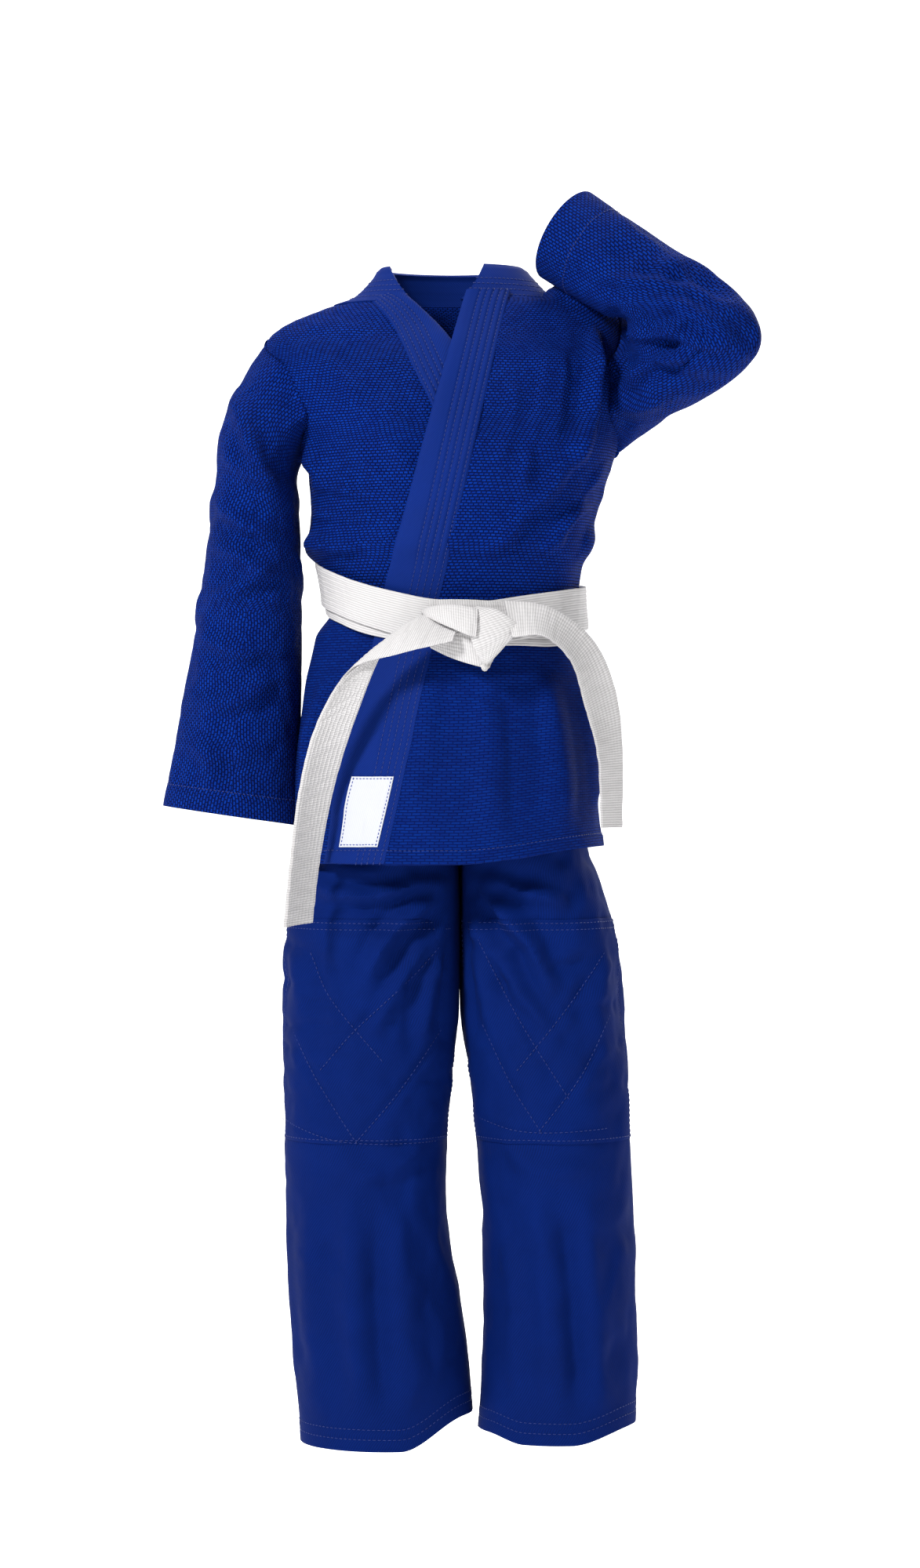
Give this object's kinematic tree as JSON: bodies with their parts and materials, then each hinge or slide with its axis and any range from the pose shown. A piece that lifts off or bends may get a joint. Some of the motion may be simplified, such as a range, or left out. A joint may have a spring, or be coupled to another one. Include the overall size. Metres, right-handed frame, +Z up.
{
  "type": "judo uniform",
  "caption": "Child's judo uniform worn open and hollow: crossed rice-grain jacket, wide trousers and a tied flat belt, one sleeve raised.",
  "frame": {"origin": "middle of the waist opening at the jacket's waist seam, on the wearer's axis", "axes": "+Z up along the wearer, -Y the way the wearer faces, +X towards the wearer's left"},
  "size_m": [0.5944, 0.2719, 1.256],
  "materials": {
    "rice_weave": "rice-grain cotton weave, matt",
    "skirt_weave": "fine ribbed cotton weave, matt",
    "lapel_twill": "cotton twill with stitch rows, matt",
    "trouser_twill": "cotton twill, matt",
    "belt_cotton": "stitched cotton belt, matt",
    "patch_weave": "plain woven patch, blank",
    "elastic": "knitted elastic"
  },
  "bodies": {
    "jacket": {"jacket_back": "rice_weave", "jacket_front_left": "rice_weave", "jacket_front_right": "rice_weave", "shoulder_lining_left": "lapel_twill", "shoulder_lining_right": "lapel_twill", "shoulder_lining_back": "lapel_twill", "lapel_left": "lapel_twill", "lapel_right": "lapel_twill", "collar_band": "lapel_twill", "skirt_front_left": "skirt_weave", "skirt_lapel_left": "lapel_twill", "skirt_front_right": "skirt_weave", "skirt_back_top": "skirt_weave", "skirt_hem_left": "skirt_weave", "skirt_hem_right": "skirt_weave", "vent_stay_left": "lapel_twill", "vent_stay_right": "lapel_twill", "woven_patch": "patch_weave", "sleeve_head_right": "rice_weave", "sleeve_head_left": "rice_weave", "belt_inner_wrap": "belt_cotton", "belt_outer_wrap": "belt_cotton", "belt_knot": "belt_cotton", "waistband": "trouser_twill", "waist_elastic": "elastic", "seat_front_right": "trouser_twill", "seat_front_left": "trouser_twill", "seat_back": "trouser_twill", "crotch_gusset": "trouser_twill", "hip_fold_right": "trouser_twill", "hip_fold_left": "trouser_twill"},
    "skirt_back_flap": {"skirt_back": "skirt_weave", "skirt_hem_back": "skirt_weave"},
    "right_upper_sleeve": {"sleeve_right_upper": "rice_weave", "sleeve_right_elbow": "rice_weave"},
    "right_lower_sleeve": {"sleeve_right_lower": "rice_weave", "cuff_right": "rice_weave"},
    "left_upper_sleeve": {"sleeve_left_upper": "rice_weave", "sleeve_left_elbow": "rice_weave"},
    "left_lower_sleeve": {"sleeve_left_lower": "rice_weave", "cuff_left": "rice_weave"},
    "right_thigh": {"thigh_right": "trouser_twill", "knee_right": "trouser_twill", "knee_patch_right": "trouser_twill"},
    "right_shin": {"shin_right": "trouser_twill", "leg_hem_right": "trouser_twill"},
    "left_thigh": {"thigh_left": "trouser_twill", "knee_left": "trouser_twill", "knee_patch_left": "trouser_twill"},
    "left_shin": {"shin_left": "trouser_twill", "leg_hem_left": "trouser_twill"},
    "right_belt_tail": {"belt_tail_right": "belt_cotton"},
    "left_belt_tail": {"belt_tail_left": "belt_cotton"}
  },
  "joints": [
    {"name": "right_shoulder", "type": "hinge", "parent": "jacket", "child": "right_upper_sleeve", "pos_m": [-0.174, 0.003, 0.227], "axis": [0, 1, 0], "range_deg": [0, 50], "deforming": ["sleeve_head_right"]},
    {"name": "right_elbow", "type": "hinge", "parent": "right_upper_sleeve", "child": "right_lower_sleeve", "pos_m": [-0.204, 0.004, 0.036], "axis": [-1, 0, 0], "range_deg": [0, 60], "deforming": ["sleeve_right_elbow"]},
    {"name": "left_shoulder", "type": "hinge", "parent": "jacket", "child": "left_upper_sleeve", "pos_m": [0.164, 0.003, 0.227], "axis": [0, 1, 0], "range_deg": [0, 30], "deforming": ["sleeve_head_left"]},
    {"name": "left_elbow", "type": "hinge", "parent": "left_upper_sleeve", "child": "left_lower_sleeve", "pos_m": [0.258, -0.095, 0.262], "axis": [-0.628, -0.699, -0.342], "range_deg": [-70, 0], "deforming": ["sleeve_left_elbow"]},
    {"name": "right_hip", "type": "hinge", "parent": "jacket", "child": "right_thigh", "pos_m": [-0.08, 0, -0.198], "axis": [-1, 0, 0], "range_deg": [-12, 10], "deforming": ["hip_fold_right"]},
    {"name": "right_knee", "type": "hinge", "parent": "right_thigh", "child": "right_shin", "pos_m": [-0.086, 0, -0.498], "axis": [1, 0, 0], "range_deg": [0, 50], "deforming": ["knee_right", "knee_patch_right"]},
    {"name": "left_hip", "type": "hinge", "parent": "jacket", "child": "left_thigh", "pos_m": [0.08, 0, -0.198], "axis": [-1, 0, 0], "range_deg": [-12, 10], "deforming": ["hip_fold_left"]},
    {"name": "left_knee", "type": "hinge", "parent": "left_thigh", "child": "left_shin", "pos_m": [0.092, 0, -0.498], "axis": [1, 0, 0], "range_deg": [0, 50], "deforming": ["knee_left", "knee_patch_left"]},
    {"name": "skirt_back_lift", "type": "hinge", "parent": "jacket", "child": "skirt_back_flap", "pos_m": [-0.003, 0.105, -0.058], "axis": [1, 0, 0], "range_deg": [0, 40]},
    {"name": "right_tail_lift", "type": "hinge", "parent": "jacket", "child": "right_belt_tail", "pos_m": [-0.008, -0.1353, 0.006], "axis": [-1, 0, 0], "range_deg": [0, 45]},
    {"name": "left_tail_lift", "type": "hinge", "parent": "jacket", "child": "left_belt_tail", "pos_m": [0.052, -0.1353, 0.006], "axis": [-1, 0, 0], "range_deg": [0, 45]}
  ]
}
